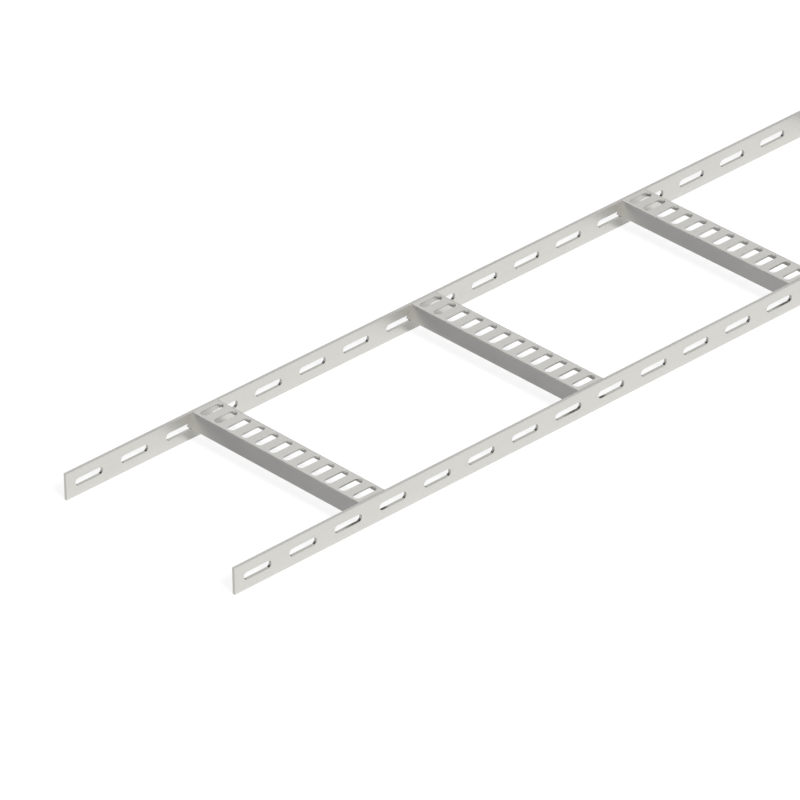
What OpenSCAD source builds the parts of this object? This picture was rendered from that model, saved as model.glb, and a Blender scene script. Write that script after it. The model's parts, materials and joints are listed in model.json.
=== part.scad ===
// Cable ladder section: two slotted flat-bar side rails joined by welded, slotted rungs.
// Millimetres. The origin is on the floor under the middle of the ladder.
// +X runs along the ladder, +Y across it, +Z up. The rails stand on their lower edges.

/* [Ladder] */
// Length of the section, which is the length of both side rails
ladder_l = 3000; // [750:250:6000]
// Clear width between the side rails, which is the length of a rung
inner_w = 200; // [100:50:600]
// Distance between rung centres
rung_pitch = 250; // [150:50:500]
// Distance from the start of the rails to the centre of the first rung
rung_start = 154; // [60:1:240]

/* [Side rail] */
// Height of the flat bar
rail_h = 25; // [22:1:60]
// Thickness of the flat bar
rail_t = 3; // [2:0.5:8]
// Distance between slot centres along the rail
rail_slot_pitch = 50; // [45:5:100]
// Distance from the start of the rail to its first slot centre
rail_slot_start = 25; // [20:1:60]
// Length of a rail slot, end to end
rail_slot_l = 30; // [12:1:36]
// Width of a rail slot
rail_slot_w = 7; // [4:0.5:12]

/* [Rung] */
// Width across the top of the rung, between the two long corners
rung_top_w = 29; // [28:1:50]
// Height of the rung, from its top face to the bottom edges of its webs
rung_h = 11; // [8:0.5:20]
// Angle by which each web leans outwards from upright, in degrees
web_lean = 31; // [0:1:40]
// Thickness of the sheet that the rung is folded from
rung_t = 1.5; // [1:0.1:2.5]
// Inside radius of the two long bends
rung_bend_r = 0.5; // [0.3:0.1:1.2]
// Distance between slot centres along the rung
rung_slot_pitch = 16.7; // [12:0.1:30]
// Least distance from the end of a rung to the nearest slot centre
rung_slot_margin = 8; // [6:0.5:20]
// Length of a rung slot, end to end
rung_slot_l = 23.5; // [10:0.5:24]
// Width of a rung slot
rung_slot_w = 7.5; // [4:0.5:10]

/* [Hidden] */
$fn = 48;
// How far a cutter runs past the faces that it opens
over = 1;

// Rails: how many slots fit, and where the two bars stand
rail_slot_count = floor((ladder_l - rail_slot_start - rail_slot_l / 2) / rail_slot_pitch) + 1;
rail_y = (inner_w + rail_t) / 2;

// Bends: the outside and the inside of each one share a centre at (-bend_x, bend_z) or (bend_x, bend_z)
bend_out_r = rung_bend_r + rung_t;
bend_x = rung_top_w / 2 - corner_reach(bend_out_r);
bend_z = -bend_out_r;

// Rungs: they stand level with the rails' top edges, and their slots are centred on their length
rung_z = rail_h;
rung_slot_count = floor((inner_w - 2 * rung_slot_margin) / rung_slot_pitch) + 1;
rung_foot_x = web_x(bend_out_r, -rung_h);
rung_count = floor((ladder_l - rung_start - rung_foot_x) / rung_pitch) + 1;
rung_names = [for (i = [1 : rung_count]) str("rung_", i < 10 ? "0" : "", i)];

steel = "#d2d1cc";

// Distance from the end of a bend of radius r to the sharp corner that it replaces
function corner_reach(r) = r * tan((90 - web_lean) / 2);

// Half the width between the two sharp corners of the face that has bend radius r
function corner_x(r) = bend_x + corner_reach(r);

// Half the width between the webs at height z, on the face that has bend radius r
function web_x(r, z) = corner_x(r) + (bend_z + r - z) * tan(web_lean);

// The space under one face of the folded sheet, down to the level foot, with both corners rounded to r
module fold(r, foot) {
    top = bend_z + r;
    difference() {
        polygon([[-web_x(r, foot), foot], [-corner_x(r), top], [corner_x(r), top], [web_x(r, foot), foot]]);
        for (side = [-1, 1])
            difference() {
                polygon([
                    [side * bend_x, bend_z],
                    [side * bend_x, top],
                    [side * corner_x(r), top],
                    [side * (bend_x + r * cos(web_lean)), bend_z + r * sin(web_lean)]
                ]);
                translate([side * bend_x, bend_z]) circle(r = r);
            }
    }
}

// The sheet's section, with its top face at 0
module rung_section() {
    difference() {
        fold(bend_out_r, -rung_h);
        fold(rung_bend_r, -rung_h - over);
    }
}

// A slot with round ends, lying along X about its own centre
module slot(length, width) {
    square([length - width, width], center = true);
    for (side = [-1, 1])
        translate([side * (length - width) / 2, 0]) circle(d = width);
}

// A flat bar with its row of slots at mid-height, seen from the side
module rail_face() {
    difference() {
        square([ladder_l, rail_h]);
        for (i = [0 : rail_slot_count - 1])
            translate([rail_slot_start + i * rail_slot_pitch, rail_h / 2])
                slot(rail_slot_l, rail_slot_w);
    }
}

// A side rail on its lower edge: side is 1 for the left rail and -1 for the right
module side_rail(side) {
    color(steel)
        translate([-ladder_l / 2, side * rail_y + rail_t / 2, 0])
            rotate([90, 0, 0])
                linear_extrude(height = rail_t) rail_face();
}

// One rung about its own centre line, with its top face at 0
module rung() {
    color(steel)
        difference() {
            rotate([90, 0, 0])
                linear_extrude(height = inner_w, center = true) rung_section();
            for (i = [0 : rung_slot_count - 1])
                translate([0, (i - (rung_slot_count - 1) / 2) * rung_slot_pitch, -rung_t - over])
                    linear_extrude(height = rung_t + 2 * over) slot(rung_slot_l, rung_slot_w);
        }
}

side_rail(1);  // side_rail_left
side_rail(-1);  // side_rail_right
for (i = [0 : rung_count - 1])
    translate([rung_start + i * rung_pitch - ladder_l / 2, 0, rung_z]) rung();
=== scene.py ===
# %% [markdown]
# # A cable ladder section in bare steel
#
# A cable ladder is a straight run of cable support. Two flat bars stand on edge as side rails, and
# folded, slotted channels are welded between them as rungs. This section is three metres long.
#
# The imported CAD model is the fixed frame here. It already has every bar, fold and slot at its real
# size, so places and slot sizes are read from it. The few sizes that it doesn't state, such as the
# fold's, are values below, and the new pieces are measured against the CAD's own boxes.

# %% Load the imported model
import json
import math

import bpy
import numpy as np
from mathutils import Matrix, Vector


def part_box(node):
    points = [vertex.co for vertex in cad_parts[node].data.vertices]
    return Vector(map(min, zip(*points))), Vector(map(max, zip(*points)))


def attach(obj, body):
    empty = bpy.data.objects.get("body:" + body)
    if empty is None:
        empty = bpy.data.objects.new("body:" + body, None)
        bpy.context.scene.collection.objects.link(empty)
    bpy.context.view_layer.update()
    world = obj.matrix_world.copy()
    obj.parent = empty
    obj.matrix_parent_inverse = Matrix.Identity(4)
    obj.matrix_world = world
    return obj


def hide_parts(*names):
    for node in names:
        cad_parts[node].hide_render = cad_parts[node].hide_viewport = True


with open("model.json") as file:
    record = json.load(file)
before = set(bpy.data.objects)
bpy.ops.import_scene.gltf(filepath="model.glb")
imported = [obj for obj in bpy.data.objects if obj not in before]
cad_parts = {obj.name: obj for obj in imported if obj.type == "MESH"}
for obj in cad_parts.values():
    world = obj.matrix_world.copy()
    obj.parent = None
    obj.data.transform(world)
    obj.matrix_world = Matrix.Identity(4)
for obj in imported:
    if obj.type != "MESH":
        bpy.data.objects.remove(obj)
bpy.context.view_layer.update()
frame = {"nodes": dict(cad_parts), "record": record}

MM = 0.001
print("the packed model has", len(frame["nodes"]), "pieces")

# %% [markdown]
# ## The camera
#
# A catalogue view of a long part is taken from far away with a long lens, so that the two rails
# stay nearly parallel. The camera stands off the corner of the ladder's start, looks down at about
# a third of a right angle, and leans by less than a degree.
#
# The camera could be aimed with a constraint. Building its three axes by hand is just as short, and
# leaves nothing on the object that has to be evaluated.

# %% Camera
CAMERA_POINT = (-5.2369, -4.2926, 3.5527)
CAMERA_HEADING = math.radians(46.891)
CAMERA_DROP = math.radians(31.007)
CAMERA_ROLL = math.radians(-0.9)
FOCAL_LENGTH_MM = 372.9
SENSOR_MM = 36
FAR_CLIP = 400
# The view is aimed by the middles of dots, while Blender counts a frame from their corners.
FRAME_DOTS = 800
HALF_A_DOT = 0.5 / FRAME_DOTS

scene = bpy.context.scene


def camera_axes(heading, drop, roll):
    """The right, up and backward unit vectors of a camera with a heading, a look down and a lean.

    Forward is (cos h cos d, sin h cos d, -sin d). Right is level, up is right x forward, and the
    roll turns both of them about forward.
    """
    forward = Vector((
        math.cos(heading) * math.cos(drop),
        math.sin(heading) * math.cos(drop),
        -math.sin(drop),
    ))
    level = Vector((math.sin(heading), -math.cos(heading), 0))
    upright = level.cross(forward)
    right = math.cos(roll) * level + math.sin(roll) * upright
    up = math.cos(roll) * upright - math.sin(roll) * level
    return right, up, -forward


camera_data = bpy.data.cameras.new("long_lens")
camera_data.lens = FOCAL_LENGTH_MM
camera_data.sensor_width = SENSOR_MM
camera_data.shift_x = -HALF_A_DOT
camera_data.shift_y = HALF_A_DOT
camera_data.clip_end = FAR_CLIP
camera = bpy.data.objects.new("catalogue_camera", camera_data)
axes = camera_axes(CAMERA_HEADING, CAMERA_DROP, CAMERA_ROLL)
camera.matrix_world = Matrix.Translation(CAMERA_POINT) @ Matrix(axes).transposed().to_4x4()
scene.collection.objects.link(camera)
scene.camera = camera
print("camera is", round(Vector(CAMERA_POINT).length, 2), "m from the middle of the ladder")

# %% [markdown]
# ## Helpers for colours and nodes
#
# Paint charts and screens give colours as sRGB hex values, while Blender's shaders add up light and
# so need linear ones. One function turns the first into the second. Another adds a node, sets what
# is given, and links its inputs, so that every node graph below reads as a list of its nodes.

# %% Helpers for colours and nodes


def linear(hex_colour):
    """An sRGB hex colour as linear RGBA: each channel c becomes ((c + 0.055) / 1.055) ** 2.4."""
    srgb = np.array([int(hex_colour[i : i + 2], 16) for i in (1, 3, 5)]) / 255
    rgb = np.where(srgb <= 0.04045, srgb / 12.92, ((srgb + 0.055) / 1.055) ** 2.4)
    return (*rgb.tolist(), 1.0)


def add(tree, kind, inputs=None, **settings):
    """Adds a node to a tree. An input takes a value, or another node's output socket as a link."""
    node = tree.nodes.new(kind)
    for name, value in settings.items():
        setattr(node, name, value)
    for name, value in (inputs or {}).items():
        if isinstance(value, bpy.types.NodeSocket):
            tree.links.new(value, node.inputs[name])
        else:
            node.inputs[name].default_value = value
    return node


def new_material(name):
    """An empty node material, and its tree."""
    material = bpy.data.materials.new(name)
    material.use_nodes = True
    material.node_tree.nodes.clear()
    return material, material.node_tree


print("a middle grey on a screen is", round(linear("#808080")[0], 3), "of white in light")

# %% [markdown]
# ## The studio
#
# Bare metal has hardly any colour of its own: what the eye reads on it is the room. A plain white
# room would make every face of the ladder the same grey, so the room needs darker places too, and
# the next cells make them one by one.
#
# The sky is white to the camera and to reflections, and weaker as a light. One large, soft lamp
# stands far off on the near side. It is left out of the reflections, where it would burn a spot.

# %% Sky and lamp
WHITE = (1.0, 1.0, 1.0, 1.0)
SKY_FOR_DIFFUSE = 0.3
LAMP_FROM = Vector((-0.6, -3.4, 3.5))
LAMP_SPREAD = math.radians(19)
LAMP_STRENGTH = 3.68

scene.view_settings.view_transform = "Standard"


def by_ray(tree, camera, metal, rest):
    """A socket with one value for camera rays, one for mirror or see-through rays, one for others.

    The Math node adds the two mirror-like kinds, and the Map Range node holds their sum to 1.
    """
    path = add(tree, "ShaderNodeLightPath").outputs
    either = add(tree, "ShaderNodeMath", {0: path["Is Glossy Ray"], 1: path["Is Transmission Ray"]})
    inputs = {"Value": either.outputs[0], "To Min": rest, "To Max": metal}
    mirror = add(tree, "ShaderNodeMapRange", inputs)
    inputs = {"Factor": path["Is Camera Ray"], "A": mirror.outputs[0], "B": camera}
    return add(tree, "ShaderNodeMix", inputs).outputs[0]


world = bpy.data.worlds.new("white_studio")
world.use_nodes = True
scene.world = world
tree = world.node_tree
tree.nodes.clear()
strength = by_ray(tree, camera=1.0, metal=1.0, rest=SKY_FOR_DIFFUSE)
sky = add(tree, "ShaderNodeBackground", {"Color": WHITE, "Strength": strength})
add(tree, "ShaderNodeOutputWorld", {"Surface": sky.outputs[0]})

lamp_data = bpy.data.lights.new("far_soft_lamp", "SUN")
lamp_data.angle = LAMP_SPREAD
lamp_data.energy = LAMP_STRENGTH
lamp = bpy.data.objects.new("far_soft_lamp", lamp_data)
lamp.location = LAMP_FROM
lamp.rotation_euler = LAMP_FROM.to_track_quat("Z", "Y").to_euler()
lamp.visible_glossy = False
scene.collection.objects.link(lamp)
print(f"the lamp is {math.degrees(LAMP_SPREAD):.0f} degrees wide, strength {LAMP_STRENGTH}")

# %% [markdown]
# ## The floor
#
# The floor is white paint mixed with a white glow that only the camera and the reflections see. The
# camera sees more of the glow than the metal does, so its floor is white with a faint shadow, while
# the reflections keep a deeper one. A bright lamp on plain paint would also whiten the floor, but
# it would wash out the ladder too.
#
# The floor has one side only, so a view from below looks up through it.

# %% Floor
FLOOR_SIDE = 60.0
FLOOR_PAINT = "#f2f2f2"
FLOOR_GLOW = 1.05
GLOW_FOR_CAMERA = 0.85
GLOW_FOR_METAL = 0.4


def sheet_mesh(name, points):
    """A mesh from a grid of points, shape (rows, columns, 3), as quads that face its own normal."""
    rows, columns = points.shape[:2]
    index = np.arange(rows * columns).reshape(rows, columns)
    corners = [index[:-1, :-1], index[:-1, 1:], index[1:, 1:], index[1:, :-1]]
    faces = np.stack(corners, axis=-1).reshape(-1, 4)
    mesh = bpy.data.meshes.new(name)
    mesh.from_pydata(points.reshape(-1, 3).tolist(), [], faces.tolist())
    return mesh


# Matt white paint, brushed on smooth: it is even, and it shows a soft shadow. From behind it is
# see-through.
floor_material, tree = new_material("matt_white_floor")
paint = add(tree, "ShaderNodeBsdfDiffuse", {"Color": linear(FLOOR_PAINT)})
glow = add(tree, "ShaderNodeEmission", {"Color": WHITE, "Strength": FLOOR_GLOW})
share = by_ray(tree, camera=GLOW_FOR_CAMERA, metal=GLOW_FOR_METAL, rest=0.0)
both = add(tree, "ShaderNodeMixShader", {0: share, 1: paint.outputs[0], 2: glow.outputs[0]})
nothing = add(tree, "ShaderNodeBsdfTransparent")
back = add(tree, "ShaderNodeNewGeometry").outputs["Backfacing"]
one_sided = add(tree, "ShaderNodeMixShader", {0: back, 1: both.outputs[0], 2: nothing.outputs[0]})
add(tree, "ShaderNodeOutputMaterial", {"Surface": one_sided.outputs[0]})

half = FLOOR_SIDE / 2
near_edge = [[-half, -half, 0], [half, -half, 0]]
far_edge = [[-half, half, 0], [half, half, 0]]
floor = bpy.data.objects.new("floor", sheet_mesh("floor", np.array([near_edge, far_edge])))
floor.data.materials.append(floor_material)
scene.collection.objects.link(floor)
print("the floor is", FLOOR_SIDE, "m wide")

# %% [markdown]
# ## The flags
#
# A photographer gets the dark sides of bright metal by standing cards, called flags, round the set.
# Only reflections see them here. A low grey ring darkens the rungs' sides. It is open behind the
# camera, so that the rungs lighten towards the far rail. One high black card draws the dark line at
# each slot's end. Darker metal would also do that, but it would then be dark from every side.

# %% Flags
FLAG_DISTANCE = 9.0
FLAG_COLUMNS = 72
FLAGS = {
    "low_grey_flags": {"heading": (-106, 200), "height": (4, 24), "cloth": "#8e8e93"},
    "tall_black_flag": {"heading": (90, 144), "height": (32, 54), "cloth": "#1c1c1c"},
}


def flag(name, heading, height, cloth):
    """A card that bends round the set, between two headings and two heights in degrees.

    At heading h and height e the point is the distance times (cos h, sin h, tan e).
    """
    # Dyed cloth in even light shows one flat tone, so a weak glow of that tone stands for it.
    material, tree = new_material(name + "_cloth")
    seen = add(tree, "ShaderNodeEmission", {"Color": linear(cloth), "Strength": 1.0})
    add(tree, "ShaderNodeOutputMaterial", {"Surface": seen.outputs[0]})
    turn = np.radians(np.linspace(*heading, FLAG_COLUMNS + 1))
    rise = np.tan(np.radians(height))[:, None]
    points = np.stack(np.broadcast_arrays(np.cos(turn), np.sin(turn), rise), axis=-1)
    card = bpy.data.objects.new(name, sheet_mesh(name, points * FLAG_DISTANCE))
    card.data.materials.append(material)
    card.visible_camera = False
    card.visible_diffuse = False
    card.visible_shadow = False
    scene.collection.objects.link(card)


for name, settings in FLAGS.items():
    flag(name, **settings)
    print(name, "spans headings", settings["heading"], "and heights", settings["height"], "degrees")

# %% [markdown]
# ## Pickled stainless steel
#
# The bar is hot rolled and then pickled, which leaves a matt, warm and very light grey. The sheet
# is cold rolled, so it is a little smoother. Both are bare metal: metallic, with a middling
# roughness that blurs a neighbour's reflection within a centimetre of it.
#
# Colour, shine and relief each follow a noise whose patches have a real size in millimetres. On a
# rolled face the colour runs in streaks along the rolls, the shine changes in clouds a few
# centimetres across, as handling and the pickling bath leave it, and a fine grain stirs the relief.
# Where a tool sheared the metal, at the slots and the ends, one set of scores through the thickness
# drives all three.
#
# An image of real steel would also do, but it would repeat along three metres of bar.

# %% Bare steel
NOISE_MIDDLE = 0.3, 0.7
# The Mix node names its number and colour sockets alike, so the colour ones go by their places.
MIX_SHARE, MIX_FROM, MIX_TO, MIX_RESULT = 0, 6, 7, 2


def bare_steel(name, colours, shine, relief_mm, patterns, axis):
    """A metal material whose colour, roughness and relief each follow their own pattern.

    A pattern is a noise in patches that are length_mm long on the axis and width_mm across it.
    Nearly all of a noise lies in its middle, which is spread over the two colours and over shine.
    """
    material, tree = new_material(name)
    place = add(tree, "ShaderNodeTexCoord").outputs["Object"]
    noise = {}
    for use, (length_mm, width_mm, detail) in patterns.items():
        scale = [1 / (width_mm * MM)] * 3
        scale["XYZ".index(axis)] = 1 / (length_mm * MM)
        counted = add(tree, "ShaderNodeMapping", {"Vector": place, "Scale": scale}).outputs[0]
        inputs = {"Vector": counted, "Scale": 1.0, "Detail": detail}
        noise[use] = add(tree, "ShaderNodeTexNoise", inputs).outputs["Fac"]
    middle = dict(zip(("From Min", "From Max"), NOISE_MIDDLE))
    share = add(tree, "ShaderNodeMapRange", {"Value": noise["colour"], **middle}).outputs[0]
    inputs = {MIX_SHARE: share, MIX_FROM: linear(colours[0]), MIX_TO: linear(colours[1])}
    colour = add(tree, "ShaderNodeMix", inputs, data_type="RGBA").outputs[MIX_RESULT]
    inputs = {"Value": noise["shine"], **middle, "To Min": shine[0], "To Max": shine[1]}
    roughness = add(tree, "ShaderNodeMapRange", inputs).outputs[0]
    inputs = {"Height": noise["relief"], "Distance": relief_mm * MM}
    relief = add(tree, "ShaderNodeBump", inputs).outputs[0]
    inputs = {"Base Color": colour, "Metallic": 1.0, "Roughness": roughness, "Normal": relief}
    steel = add(tree, "ShaderNodeBsdfPrincipled", inputs)
    add(tree, "ShaderNodeOutputMaterial", {"Surface": steel.outputs[0]})
    print("finish:", name)
    return material


# %% [markdown]
# ## The finishes of the bar and the sheet
#
# Sheared walls and ends are smoother than a rolled face, and scored. They are a little darker,
# partly as the cut metal's own tone and partly as painted shade inside the slots. The bar's long
# edges keep their rolled skin, and are a little darker than its faces. The back of the sheet lay
# on the press bed and is duller; its darker grey is painted shade for the inside of the rung.
#
# A pattern says how long and how wide its patches are, in millimetres, and how much detail they
# have. Real pickled grain and real scores are finer than a tenth of a millimetre, which is too fine
# to show here, so both are drawn several times coarser.

# %% Patterns
# Places in the lists of finishes: the third is the bar's rolled edge, or the sheet's back, whose
# darker grey is painted shade for the inside of the rung's channel.
FACE = 0
# The sheared finish is darker partly as the cut metal's own tone and partly as painted shade inside
# the slots.
SHEARED = 1
ROLLED_EDGE = 2
BACK = 2

BAR_GRAIN_DEPTH_MM = 0.010
BAR_SCORE_DEPTH_MM = 0.025
SHEET_GRAIN_DEPTH_MM = 0.006
SHEET_SCORE_DEPTH_MM = 0.020

# What each pattern drives, and its length, width and detail.
rolled_bar = {"colour": (90, 1.6, 2.0), "shine": (45, 45, 3.0), "relief": (0.9, 0.9, 1.0)}
rolled_sheet = {"colour": (90, 1.2, 2.0), "shine": (35, 35, 3.0), "relief": (0.7, 0.7, 1.0)}
scored_bar = dict.fromkeys(("colour", "shine", "relief"), (6.0, 0.5, 1.0))
scored_sheet = dict.fromkeys(("colour", "shine", "relief"), (4.8, 0.4, 1.0))
print("length, width and detail of the bar's patterns:", rolled_bar)

# %% Finishes of the bar
bar_finish = [
    # Hot-rolled flat bar, pickled after rolling: a matt, slightly warm light grey.
    bare_steel(
        "hot_rolled_pickled_stainless",
        colours=("#d5d4cf", "#d7d6d1"),
        shine=(0.35, 0.39),
        relief_mm=BAR_GRAIN_DEPTH_MM,
        patterns=rolled_bar,
        axis="X",
    ),
    # Slots punched and ends cropped in a press: burnished by the tool, so smooth, and darker partly
    # as the cut metal's own tone and partly as painted shade inside the slots.
    bare_steel(
        "sheared_and_shaded_stainless_bar",
        colours=("#b3b2ad", "#bab9b4"),
        shine=(0.14, 0.20),
        relief_mm=BAR_SCORE_DEPTH_MM,
        patterns=scored_bar,
        axis="Y",
    ),
    # The edge that the mill's side rolls left, pickled with the rest: matt, and a little darker than
    # the faces.
    bare_steel(
        "rolled_edge_of_stainless_bar",
        colours=("#c2c1bd", "#c7c6c2"),
        shine=(0.30, 0.36),
        relief_mm=BAR_GRAIN_DEPTH_MM,
        patterns=rolled_bar,
        axis="X",
    ),
]

# %% Finishes of the sheet
sheet_finish = [
    # Cold-rolled sheet with a matt mill finish, folded with its good face outwards: even and pale.
    bare_steel(
        "cold_rolled_matt_stainless",
        colours=("#d3d2cd", "#d6d5d0"),
        shine=(0.33, 0.37),
        relief_mm=SHEET_GRAIN_DEPTH_MM,
        patterns=rolled_sheet,
        axis="Y",
    ),
    # Slots punched and feet cropped in a press: smooth, and a little darker, partly as the cut
    # metal's own tone and partly as painted shade inside the slots.
    bare_steel(
        "sheared_and_shaded_stainless_sheet",
        colours=("#c2c1bd", "#c9c8c4"),
        shine=(0.20, 0.26),
        relief_mm=SHEET_SCORE_DEPTH_MM,
        patterns=scored_sheet,
        axis="Z",
    ),
    # The other face of the same sheet, rubbed dull on the press bed: flat, and painted a darker grey
    # as the shade inside the rung's channel.
    bare_steel(
        "shaded_back_of_stainless_sheet",
        colours=("#9e9d99", "#a3a29e"),
        shine=(0.42, 0.50),
        relief_mm=SHEET_GRAIN_DEPTH_MM,
        patterns=rolled_sheet,
        axis="Y",
    ),
]

# %% [markdown]
# ## Surfaces worked out with numpy
#
# Both kinds of piece are plates with round-ended slots, so the same three ideas make them all.
#
# 1. A **rounded path** is a section line whose corners are arcs. It carries its own normals.
# 2. A **patch** is a grid of points with a normal at each one. A path swept along a line is one,
#    and so is the plate round a slot: rays run out from the slot's edge to the borders of its share
#    of the plate.
# 3. A **piece** is several patches whose shared points are merged. Its corner normals come from the
#    formulas, so flat faces stay dead flat beside arcs that are a fraction of a millimetre.
#
# Boolean cuts and a bevel would also work, but they leave long thin triangles round every slot, and
# the shading across them shows. All lengths are in millimetres until a piece becomes a mesh.

# %% Rounded paths
ARC_STEPS = 4


def unit(v):
    """v over its own length, along the last axis."""
    return v / np.linalg.norm(v, axis=-1, keepdims=True)


def rounded_path(corners, radii, steps):
    """Points and outward normals of a path with an arc at each inner corner, the solid on its left.

    An arc of radius r that turns by angle a starts r tan(a / 2) before its corner. Its centre lies
    r to the side it turns to, and its tangent at share s of the way is the first run's, turned by
    s a. The outward normal is the tangent (dx, dy) turned clockwise, (dy, -dx).
    """
    corners = np.asarray(corners, float)
    runs = unit(np.diff(corners, axis=0))
    points, tangents = [corners[:1]], [runs[:1]]
    bends = zip(corners[1:-1], runs[:-1], runs[1:], radii, steps)
    for corner, before, after, radius, count in bends:
        turn = np.arctan2(before[0] * after[1] - before[1] * after[0], before @ after)
        angle = np.arctan2(before[1], before[0]) + turn * np.linspace(0, 1, count + 1)
        tangent = np.stack([np.cos(angle), np.sin(angle)], axis=-1)
        to_left = np.stack([-tangent[:, 1], tangent[:, 0]], axis=-1)
        to_centre = np.sign(turn) * radius * to_left
        start = corner - before * radius * np.tan(abs(turn) / 2)
        points.append(start + to_centre[0] - to_centre)
        tangents.append(tangent)
    points.append(corners[-1:])
    tangents.append(runs[-1:])
    tangents = np.concatenate(tangents)
    return np.concatenate(points), np.stack([tangents[:, 1], -tangents[:, 0]], axis=-1)


line, _ = rounded_path([(0, 0), (10, 0), (10, 10)], radii=[2], steps=[ARC_STEPS])
print("a line with one rounded corner has", len(line), "points")

# %% [markdown]
# ## From patches to a piece
#
# A patch keeps its quads as loose corners, so patches of any shape can lie in one list. A piece
# merges the corners that share a place, and then one closed mesh has no seam to show.

# %% Patches


def patch(points, normals, finish, wrap=False):
    """Quads of a grid of points, shape (..., rows, columns, 3), as corners, normals and finish.

    Any leading axes are copies. wrap joins the last column to the first. finish gives each row of
    quads its place in the list of finishes. A quad wound against its normals is turned round.
    """
    normals = np.broadcast_to(normals, points.shape)
    if wrap:
        points = np.concatenate([points, points[..., :1, :]], axis=-2)
        normals = np.concatenate([normals, normals[..., :1, :]], axis=-2)

    def corners(grid):
        """The four corners of each quad, in order round it."""
        upper, lower = grid[..., :-1, :, :], grid[..., 1:, :, :]
        around = [upper[..., :-1, :], upper[..., 1:, :], lower[..., 1:, :], lower[..., :-1, :]]
        return np.stack(around, axis=-2)

    quads, facing = corners(points), corners(normals)
    finish = np.broadcast_to(np.reshape(finish, (-1, 1)), quads.shape[:-2]).ravel()
    quads, facing = quads.reshape(-1, 4, 3), facing.reshape(-1, 4, 3)
    across = np.cross(quads[:, 2] - quads[:, 0], quads[:, 3] - quads[:, 1])
    inside_out = (across * facing.sum(axis=1)).sum(axis=1) < 0
    quads[inside_out] = quads[inside_out, ::-1]
    facing[inside_out] = facing[inside_out, ::-1]
    return quads, facing, finish


def mirrored(one_patch, axis):
    """The same patch on the other side of the plane through the origin, across one axis."""
    quads, facing, finish = one_patch
    flip = np.ones(3)
    flip[axis] = -1
    return (quads * flip)[:, ::-1], (facing * flip)[:, ::-1], finish


ring, _, _ = patch(np.zeros((3, 5, 3)), (0, 0, 1), [FACE, SHEARED], wrap=True)
print("a ring of 3 rows and 5 columns of points has", len(ring), "quads")

# %% Pieces
MERGE_MM = 1e-5


def make_piece(name, patches, outlines, materials):
    """One closed mesh object from patches and flat outlines, with exact normals.

    Corners within MERGE_MM of each other become one vertex. An outline is a flat polygon and its
    normal, and wears the first of the materials. The finish of a patch picks one of them.
    """
    quads = np.concatenate([p[0] for p in patches])
    facing = np.concatenate([p[1] for p in patches])
    finish = np.concatenate([p[2] for p in patches] + [np.zeros(len(outlines), int)])
    corners = np.concatenate([quads.reshape(-1, 3)] + [points for points, _ in outlines])
    places = np.round(corners / MERGE_MM)
    _, first, vertex = np.unique(places, axis=0, return_index=True, return_inverse=True)
    vertex = vertex.ravel()
    used = 4 * len(quads)
    faces = vertex[:used].reshape(-1, 4).tolist()
    normals = [unit(facing).reshape(-1, 3)]
    for points, normal in outlines:
        faces.append(vertex[used : used + len(points)].tolist())
        normals.append(np.tile(normal, (len(points), 1)))
        used += len(points)
    mesh = bpy.data.meshes.new(name)
    mesh.from_pydata((corners[first] * MM).tolist(), [], faces)
    for material in materials:
        mesh.materials.append(material)
    mesh.polygons.foreach_set("material_index", finish)
    mesh.shade_smooth()
    mesh.normals_split_custom_set(np.concatenate(normals).tolist())
    piece = bpy.data.objects.new(name, mesh)
    scene.collection.objects.link(piece)
    return piece


print("corners closer than", MERGE_MM, "mm become one vertex")

# %% [markdown]
# ## One slot and its share of the plate
#
# A slot with round ends is a stadium: two half circles and two straight sides. Rays from the centre
# of each half circle carry its points out to a rectangle, the slot's share of the plate. One of the
# rays goes exactly to the rectangle's corner, so that neighbouring shares meet corner to corner.
#
# Punching leaves its mark. The edge on the punch's side is drawn down into a small round, the wall
# is sheared, and the far edge keeps only a trace of a break. The section line has both.

# %% Rays of a slot
SIDE_RAYS = 4
END_RAYS = 10


def slot_rays(length, width, half_x, half_y):
    """The rays of a slot along x: edge points, directions, and where each meets the share's border.

    At angle f about the right-hand centre (a, 0) the edge point is (a + r cos f, r sin f). Its ray
    ends at (a + k cos f, k sin f), with k the least that reaches x = half_x or y = +-half_y. The
    left half is the right half turned by half a turn.
    """
    radius = width / 2
    centre = (length - width) / 2
    corner = np.arctan2(half_y, half_x - centre)
    rising = np.linspace(corner, np.pi / 2, SIDE_RAYS + 1)[1:]
    angle = np.concatenate([-rising[::-1], np.linspace(-corner, corner, END_RAYS + 1), rising])
    direction = np.stack([np.cos(angle), np.sin(angle)], axis=-1)
    with np.errstate(divide="ignore"):
        reach = np.minimum((half_x - centre) / direction[:, 0], half_y / np.abs(direction[:, 1]))
    middle = np.array([centre, 0.0])
    edge = middle + radius * direction
    border = middle + reach[:, None] * direction
    return [np.concatenate([half, -half]) for half in (edge, direction, border)]


rays, _, _ = slot_rays(length=30, width=7, half_x=25, half_y=12.5)
print("each slot sends out", len(rays), "rays")

# %% Section of a slot's wall
# How far from its edge a section starts. The plate's borders then take the place of that row.
FAR_MM = 1.0
WALL_FACING = 0.75


def wall_path(thickness, back_round, front_round):
    """The section of a plate's edge as (inset, depth), its normals, and which runs are the wall.

    It goes in along the back, through the plate, and out along the front. A run belongs to the
    sheared wall where the mean of its two normals points along the plate by over WALL_FACING.
    """
    corners = [(FAR_MM, thickness), (0, thickness), (0, 0), (FAR_MM, 0)]
    path, normals = rounded_path(corners, [back_round, front_round], [ARC_STEPS, ARC_STEPS])
    wall = np.abs(normals[:-1, 0] + normals[1:, 0]) / 2 > WALL_FACING
    return path, normals, wall


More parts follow.
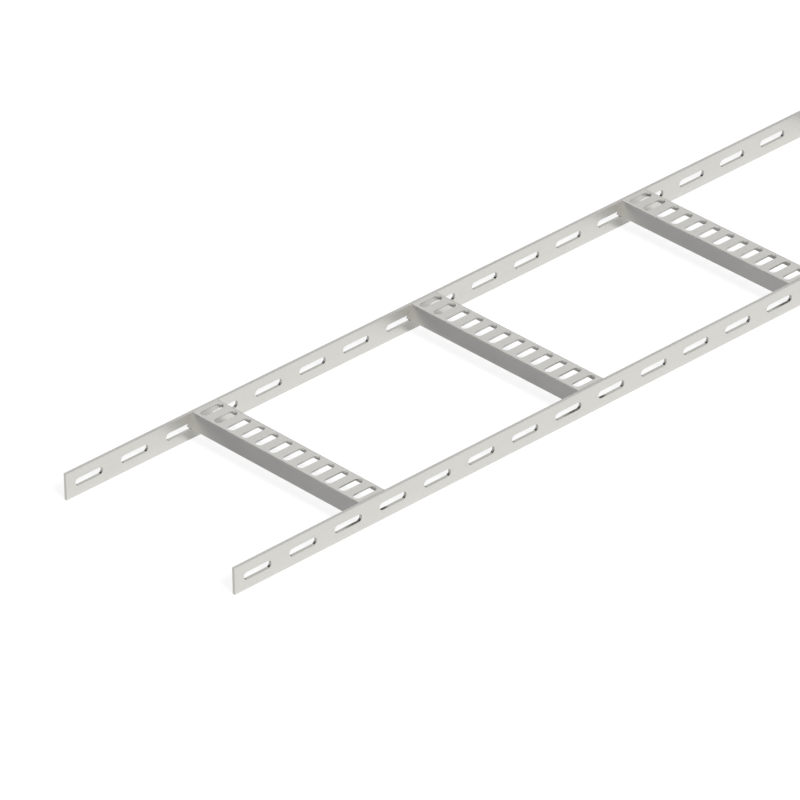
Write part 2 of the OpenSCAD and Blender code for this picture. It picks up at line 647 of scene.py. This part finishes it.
def slotted_plate(rays, centres, path, normals, low, high):
    """The plate round several slots, as (copies, rows, columns) of (x, y, depth), and its normals.

    A point of the section at inset e lies e away from the slot's edge along the ray's direction.
    The first and the last row are the borders, held between low and high on the back and the front.
    """
    edge, direction, border = rays
    flat = edge + path[:, None, :1] * direction
    flat = np.broadcast_to(flat, (len(centres), *flat.shape)) + centres[:, None, None, :]
    borders = border + centres[:, None, :]
    for row in (0, -1):
        flat[:, row] = np.clip(borders, low, high)
    depth = np.broadcast_to(path[:, None, 1:], (*flat.shape[:-1], 1))
    outward = normals[:, None, :1] * direction
    through = np.broadcast_to(normals[:, None, 1:], (*outward.shape[:-1], 1))
    return np.concatenate([flat, depth], axis=-1), np.concatenate([outward, through], axis=-1)


path, _, wall = wall_path(thickness=3.0, back_round=0.1, front_round=0.3)
print("a slot's section has", len(path) - 1, "runs, and", wall.sum(), "of them are sheared wall")

# %% [markdown]
# ## The edges of a bar
#
# A rail is flat bar, so its border is one rounded section carried round a rectangle. Four strips
# make it, mitred at the corners. They pass the very places where the slots' rays end, so that the
# strips and the plates meet point to point.

# %% Measures and edge strips
PLACE_DIGITS = 6


def node_size(name):
    """Lowest corner, and size, of a CAD node in millimetres."""
    low, high = (np.array(corner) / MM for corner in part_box(name))
    return low, high - low


def report(node, piece):
    """Prints a piece's number of faces, and how far its box is from its CAD node's at the worst."""
    corners = np.array([piece.matrix_world @ Vector(corner) for corner in piece.bound_box]) / MM
    low, size = node_size(node)
    below = np.abs(corners.min(axis=0) - low).max()
    above = np.abs(corners.max(axis=0) - low - size).max()
    faces = len(piece.data.polygons)
    print(f"{piece.name}: {faces} faces, box within {max(below, above):.4f} mm of the CAD's")


def on_border(borders, axis, value):
    """The sorted places along a border line, where coordinate number axis has one value."""
    there = np.isclose(borders[..., axis], value)
    return np.unique(np.round(borders[..., 1 - axis][there], PLACE_DIGITS))


def edge_strip(places, along, size, far, path, normals):
    """One side of a rectangular plate's border: a section swept past the places on that side.

    The section's inset e is measured inwards from the side, and the places are held e away from the
    two neighbouring sides, which mitres the corners. far picks the side at the high end.
    """
    across = 1 - along
    inset = path[:, :1]
    points = np.empty((len(path), len(places), 3))
    points[..., along] = np.clip(places, inset, size[along] - inset)
    points[..., across] = size[across] - inset if far else inset
    points[..., 2] = path[:, 1:]
    facing = np.zeros_like(points)
    facing[..., across] = -normals[:, :1] if far else normals[:, :1]
    facing[..., 2] = normals[:, 1:]
    return points, facing


for node in ("side_rail_left", "rung_01"):
    print(node, "measures", node_size(node)[1].round(3), "mm")

# %% [markdown]
# ## The side rails
#
# Each rail is hot-rolled flat bar. Its long edges keep the small round that the rolls leave, its
# ends are cropped, and a row of slots runs its whole length. Sixty slots at one pitch share the bar
# out exactly, so a rail is sixty plates, and four edge strips along its border. Both bars have their
# punched side outwards, so the right rail is the left one's mirror image.

# %% Side rails
BAR_SLOT_PITCH = 50.0
BAR_EDGE_ROUND = 0.4
BAR_PUNCH_ROUND = 0.3
BAR_BREAK_ROUND = 0.12


def rail_patches(low, size, slot):
    """All the patches of a rail whose outer face looks along +Y."""
    length, thickness, height = size
    half_pitch = BAR_SLOT_PITCH / 2
    rays = slot_rays(slot["slot_length_mm"], 2 * slot["hole_r_mm"], half_pitch, height / 2)
    along = np.arange(half_pitch, length, BAR_SLOT_PITCH)
    centres = np.stack([along, np.full_like(along, height / 2)], axis=-1)
    borders = rays[2] + centres[:, None, :]
    plate = np.array([length, height])

    def stood_up(points, facing, finish, wrap=False):
        """The patch of a surface in (x, z, depth), turned into the ladder's own axes."""
        x, z, depth = np.moveaxis(points, -1, 0)
        points = np.stack([low[0] + x, low[1] + thickness - depth, low[2] + z], axis=-1)
        return patch(points, facing[..., [0, 2, 1]] * [1, -1, 1], finish, wrap)

    path, normals, wall = wall_path(thickness, BAR_BREAK_ROUND, BAR_PUNCH_ROUND)
    inner, outer = BAR_EDGE_ROUND, plate - BAR_EDGE_ROUND
    surface = slotted_plate(rays, centres, path, normals, inner, outer)
    patches = [stood_up(*surface, np.where(wall, SHEARED, FACE), wrap=True)]

    path, normals, wall = wall_path(thickness, BAR_EDGE_ROUND, BAR_EDGE_ROUND)
    path, normals, wall = path[1:-1], normals[1:-1], wall[1:-1]
    for axis, skin in ((0, ROLLED_EDGE), (1, SHEARED)):
        for far in (False, True):
            places = on_border(borders, 1 - axis, plate[1 - axis] * far)
            surface = edge_strip(places, axis, plate, far, path, normals)
            patches.append(stood_up(*surface, np.where(wall, skin, FACE)))
    return patches


mounts = {mount["name"]: mount["dims"] for mount in frame["record"]["mounts"]}
low, size = node_size("side_rail_left")
left = rail_patches(low, size, mounts["splice_left_start"])
right = [mirrored(one, 1) for one in left]
rails = {
    "side_rail_left": make_piece("flat_bar_left", left, [], bar_finish),
    "side_rail_right": make_piece("flat_bar_right", right, [], bar_finish),
}
for node, piece in rails.items():
    report(node, piece)

# %% [markdown]
# ## The fold of a rung
#
# A rung starts as a strip of cold-rolled sheet. Twelve slots are punched across it, and its two
# long sides are folded down and outwards, which makes a shallow channel that is wider at its feet.
# The feet are cut level.
#
# One section line says all of that. A Solidify modifier on a bent sheet would keep the thickness
# too, but it would cut the feet square to the sheet, and these stand flat.

# %% Fold
SHEET = 1.5
TOP_WIDTH = 29.0
LEAN = math.radians(31)
INNER_BEND = 0.5
FOOT_ROUND = 0.1
BEND_STEPS = 8


def fold_path(height):
    """The right-hand fold as (x, z): under the top, down the web, round the foot, and back up.

    The sheet's two faces lean by the same angle and lie one thickness apart, so the line at depth d
    under the outer one has its sharp corner d tan((90 - lean) / 2) nearer the middle.
    """
    corner = TOP_WIDTH / 2
    inner_corner = corner - SHEET * math.tan(math.pi / 4 - LEAN / 2)
    slope = math.tan(LEAN)
    corners = [
        (0, -SHEET),
        (inner_corner, -SHEET),
        (inner_corner + (height - SHEET) * slope, -height),
        (corner + height * slope, -height),
        (corner, 0),
        (0, 0),
    ]
    radii = [INNER_BEND, FOOT_ROUND, FOOT_ROUND, INNER_BEND + SHEET]
    path, normals = rounded_path(corners, radii, [BEND_STEPS, ARC_STEPS, ARC_STEPS, BEND_STEPS])
    return path[1:-1], normals[1:-1]


rung_size = node_size("rung_01")[1]
print("the fold's line has", len(fold_path(rung_size[2])[0]), "points")

# %% [markdown]
# ## The rungs
#
# The top is twelve slotted plates. The fold's line is carried along the rung, past the very places
# where the plates' rays end, and each end is one flat outline through the same points. The ends are
# welded against the rails' inner faces, so they stay sharp.
#
# All twelve rungs are the same, so their surfaces are worked out once and moved.

# %% Top, sides and ends of a rung
SHEET_PUNCH_ROUND = 0.25
SHEET_BREAK_ROUND = 0.1


def rung_top(rays, centres, end):
    """The patch of the slotted top, with its punched face up and the sheet's back underneath."""
    path, normals, wall = wall_path(SHEET, SHEET_BREAK_ROUND, SHEET_PUNCH_ROUND)
    points, facing = slotted_plate(rays, centres, path, normals, -end, end)
    # The underside wears the sheet's back, whose darker grey is painted shade under the top.
    under = np.arange(len(wall)) < np.argmax(wall)
    finish = np.where(under, BACK, np.where(wall, SHEARED, FACE))
    return patch(points * [1, 1, -1], facing * [1, 1, -1], finish, wrap=True)


def rung_side(fold, normals, places, height):
    """The patch of one fold, carried along y past some places."""
    points = np.stack(np.broadcast_arrays(fold[:, :1], places, fold[:, 1:]), axis=-1)
    facing = np.stack([normals[:, 0], np.zeros(len(fold)), normals[:, 1]], axis=-1)
    foot = np.maximum(fold[:-1, 1], fold[1:, 1]) < FOOT_ROUND - height
    # The inside of the fold wears the sheet's back, whose darker grey is painted shade inside the
    # channel.
    inside = np.arange(len(foot)) < np.argmax(foot)
    finish = np.where(inside, BACK, np.where(foot, SHEARED, FACE))
    return patch(points, facing[:, None, :], finish)


def rung_ends(fold, steps, length):
    """The outlines of both ends: down one fold and up the other, through the steps of the top."""
    upper = np.stack([steps[::-1], np.zeros_like(steps)], axis=-1)
    lower = np.stack([steps, np.full_like(steps, -SHEET)], axis=-1)
    outline = np.concatenate([fold, upper, fold[::-1] * [-1, 1], lower])
    ends = []
    for way in (-1, 1):
        loop = outline[::-way]
        y = np.full(len(loop), way * length / 2)
        ends.append((np.stack([loop[:, 0], y, loop[:, 1]], axis=-1), (0, way, 0)))
    return ends


print("a rung's slots are rounded by", SHEET_PUNCH_ROUND, "mm on the side that the punch enters")

# %% Rungs
RUNG_SLOT_PITCH = 16.7
RUNG_SLOTS = 12


def rung_surfaces(size, slot):
    """The patches and the end outlines of a rung about its own centre, with its top face at 0."""
    _, length, height = size
    fold, normals = fold_path(height)
    flat = fold[-1, 0]
    rays = slot_rays(slot["slot_length_mm"], 2 * slot["hole_r_mm"], flat, RUNG_SLOT_PITCH / 2)
    across = (np.arange(RUNG_SLOTS) - (RUNG_SLOTS - 1) / 2) * RUNG_SLOT_PITCH
    centres = np.stack([np.zeros(RUNG_SLOTS), across], axis=-1)
    end = np.array([flat, length / 2])
    borders = np.clip(rays[2] + centres[:, None, :], -end, end)
    side = rung_side(fold, normals, on_border(borders, 0, flat), height)
    patches = [rung_top(rays, centres, end), side, mirrored(side, 0)]
    steps = on_border(borders, 1, length / 2)[1:-1]
    return patches, rung_ends(fold, steps, length)


patches, ends = rung_surfaces(rung_size, mounts["rung_slots"])
rungs = {}
for node in sorted(name for name in frame["nodes"] if name.startswith("rung_")):
    low, size = node_size(node)
    middle = low + size * [0.5, 0.5, 1]
    moved = [(quads + middle, facing, finish) for quads, facing, finish in patches]
    outlines = [(points + middle, normal) for points, normal in ends]
    name = node.replace("rung", "folded_rung")
    rungs[node] = make_piece(name, moved, outlines, sheet_finish)
    report(node, rungs[node])

# %% [markdown]
# ## Putting the pieces in place
#
# Every piece is already where it belongs, because it was worked out in the ladder's own frame. What
# is left is to hang each one under the root, and to hide the CAD node that it stands for.

# %% Stand for the CAD nodes
for kind, pieces in (("side_rail_steel", rails), ("rung_steel", rungs)):
    for node, piece in pieces.items():
        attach(piece, "root")
        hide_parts(node)

print("placed", len(rails), "rails and", len(rungs), "rungs")
